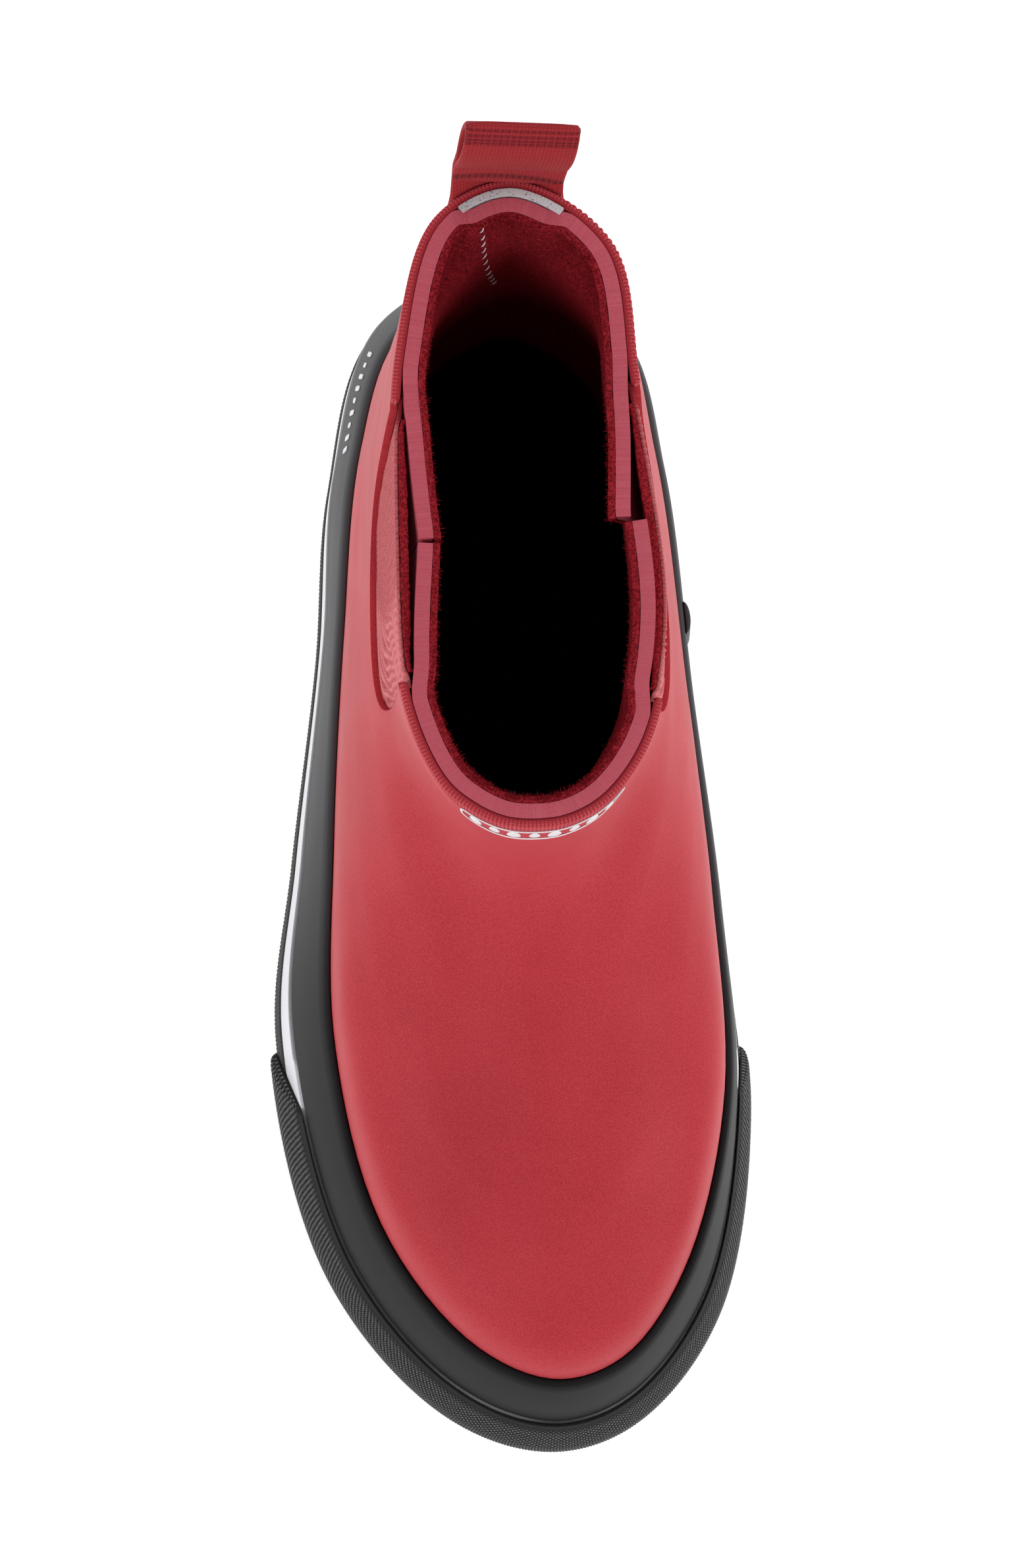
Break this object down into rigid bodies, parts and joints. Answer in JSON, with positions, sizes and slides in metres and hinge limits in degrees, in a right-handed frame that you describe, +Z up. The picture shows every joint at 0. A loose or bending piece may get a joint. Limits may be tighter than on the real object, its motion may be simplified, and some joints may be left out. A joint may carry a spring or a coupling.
{
  "type": "rubber rain boot",
  "caption": "Ankle-high rubber rain boot for the right foot, with elastic side gores, a foam and fleece lining, a webbing pull tab and a foxed sole with a toe bumper.",
  "frame": {"origin": "middle of the boot's box, on the ground", "axes": "+Z up, toe towards -Y, heel towards +Y, +X towards the inner side of the right foot"},
  "size_m": [0.111, 0.2724, 0.1764],
  "materials": {
    "outsole_rubber": "matte moulded rubber with cross grooves",
    "midsole_filler": "cellular filler, hidden",
    "white_rubber": "smooth satin rubber tape",
    "grey_rubber": "satin rubber piping",
    "bumper_rubber": "matte rubber with a fine diamond texture",
    "charcoal_rubber": "satin rubber",
    "red_rubber": "matte rubber with a soft sheen",
    "ribbed_knit": "ribbed knit binding",
    "pink_foam": "cut edge of foam bonded to fabric",
    "fleece_lining": "brushed lining",
    "stiffener_board": "hidden stiffener",
    "elastic_gore": "ribbed elastic",
    "tab_webbing": "ribbed webbing",
    "grey_tape": "flat woven tape",
    "insole_fibre": "fibre board, hidden",
    "footbed_black": "moulded foam",
    "footbed_textile": "black textile facing",
    "badge_print": "printed outline"
  },
  "bodies": {
    "boot": {"outsole": "outsole_rubber", "midsole_core": "midsole_filler", "sidewall_tape": "white_rubber", "pinstripe_bead": "grey_rubber", "toe_bumper": "bumper_rubber", "foxing_band": "charcoal_rubber", "foxing_joint": "charcoal_rubber", "rubber_shell": "red_rubber", "collar_trim_front": "ribbed_knit", "collar_trim_rear": "ribbed_knit", "foam_liner": "pink_foam", "lining_sock": "fleece_lining", "toe_puff": "stiffener_board", "heel_counter": "stiffener_board", "gore_left": "elastic_gore", "gore_right": "elastic_gore", "gore_backing_left": "fleece_lining", "gore_backing_right": "fleece_lining", "pull_tab_anchor": "tab_webbing", "heel_tape": "grey_tape", "insole_board": "insole_fibre", "front_badge": "badge_print"},
    "pull_tab": {"pull_tab_loop": "tab_webbing"},
    "footbed": {"footbed_foam": "footbed_black", "footbed_cover": "footbed_textile"}
  },
  "joints": [
    {"name": "pull_tab_hinge", "type": "hinge", "parent": "boot", "child": "pull_tab", "pos_m": [-0.0069, 0.11915, 0.15677], "axis": [1, 0, 0], "range_deg": [-70, 75], "stiffness_Nm_per_rad": 0.01},
    {"name": "footbed_lift", "type": "hinge", "parent": "boot", "child": "footbed", "pos_m": [0.004, -0.1118, 0.019], "axis": [1, 0, 0], "range_deg": [0, 5]}
  ]
}
